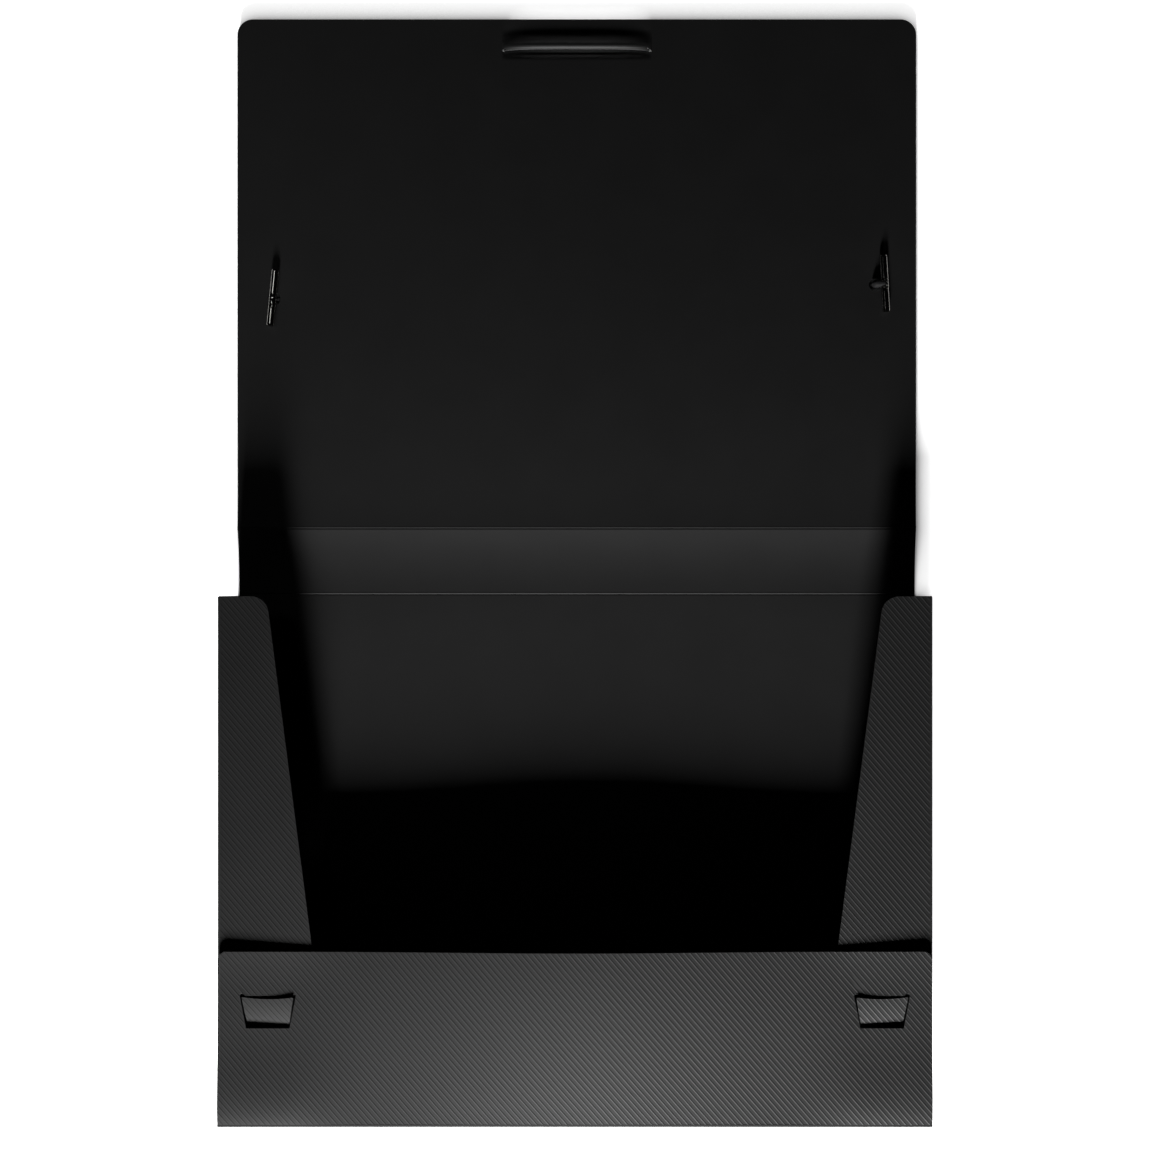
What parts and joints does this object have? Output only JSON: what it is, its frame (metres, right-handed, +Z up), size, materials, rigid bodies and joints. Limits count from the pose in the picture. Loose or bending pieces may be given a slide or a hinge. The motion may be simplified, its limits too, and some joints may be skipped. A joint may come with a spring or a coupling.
{
  "type": "document box",
  "caption": "Folded polypropylene document box with an open hinged lid, side flaps locked under a front flap by tongues, and an elastic cord held by metal bars.",
  "frame": {"origin": "middle of the back panel's underside, on the surface that the box lies on", "axes": "+Y from the bottom wall towards the spine and the open lid, +Z up out of the tray, +X to the right seen from above with the lid at the top"},
  "size_m": [0.33, 0.5227, 0.0343],
  "materials": {
    "sheet": "satin black polypropylene, finely ribbed outside and smooth inside",
    "crease": "pressed living hinge, slightly glossier than the sheet",
    "elastic": "black braided elastic",
    "metal": "nickel-plated rolled steel"
  },
  "bodies": {
    "tray": {"back_panel": "sheet", "left_wall": "sheet", "right_wall": "sheet", "left_flap": "sheet", "right_flap": "sheet", "back_left_crease": "crease", "back_right_crease": "crease", "left_flap_crease": "crease", "right_flap_crease": "crease", "left_tongue_crease": "crease", "right_tongue_crease": "crease", "back_spine_crease": "crease", "back_bottom_crease": "crease"},
    "spine": {"spine_panel": "sheet", "spine_lid_crease": "crease"},
    "lid": {"lid_panel": "sheet", "elastic_cord": "elastic", "left_t_bar": "metal", "right_t_bar": "metal"},
    "bottom": {"bottom_wall": "sheet", "bottom_front_crease": "crease"},
    "front": {"front_flap": "sheet"},
    "left_lock": {"left_tongue": "sheet"},
    "right_lock": {"right_tongue": "sheet"}
  },
  "joints": [
    {"name": "spine_fold", "type": "hinge", "parent": "tray", "child": "spine", "pos_m": [0, 0.12225, 0.0004], "axis": [1, 0, 0], "range_deg": [0, 84.62]},
    {"name": "lid_fold", "type": "hinge", "parent": "spine", "child": "lid", "pos_m": [0, 0.15411, 0.0034], "axis": [1, 0, 0], "range_deg": [0, 94.18]},
    {"name": "bottom_wall_fold", "type": "hinge", "parent": "tray", "child": "bottom", "pos_m": [0, -0.12225, 0.0004], "axis": [-1, 0, 0], "range_deg": [-90, 0]},
    {"name": "front_flap_fold", "type": "hinge", "parent": "bottom", "child": "front", "pos_m": [0, -0.12225, 0.0313], "axis": [-1, 0, 0], "range_deg": [-85, 0]},
    {"name": "left_tongue_press", "type": "hinge", "parent": "tray", "child": "left_lock", "pos_m": [-0.14121, -0.07725, 0.02939], "axis": [0.9996, 0, 0.0297], "range_deg": [-7.5, 0], "stiffness_Nm_per_rad": 0.004, "springref_deg": 2.86},
    {"name": "right_tongue_press", "type": "hinge", "parent": "tray", "child": "right_lock", "pos_m": [0.14121, -0.07725, 0.02939], "axis": [0.9996, 0, -0.0297], "range_deg": [-7.5, 0], "stiffness_Nm_per_rad": 0.004, "springref_deg": 2.86}
  ]
}
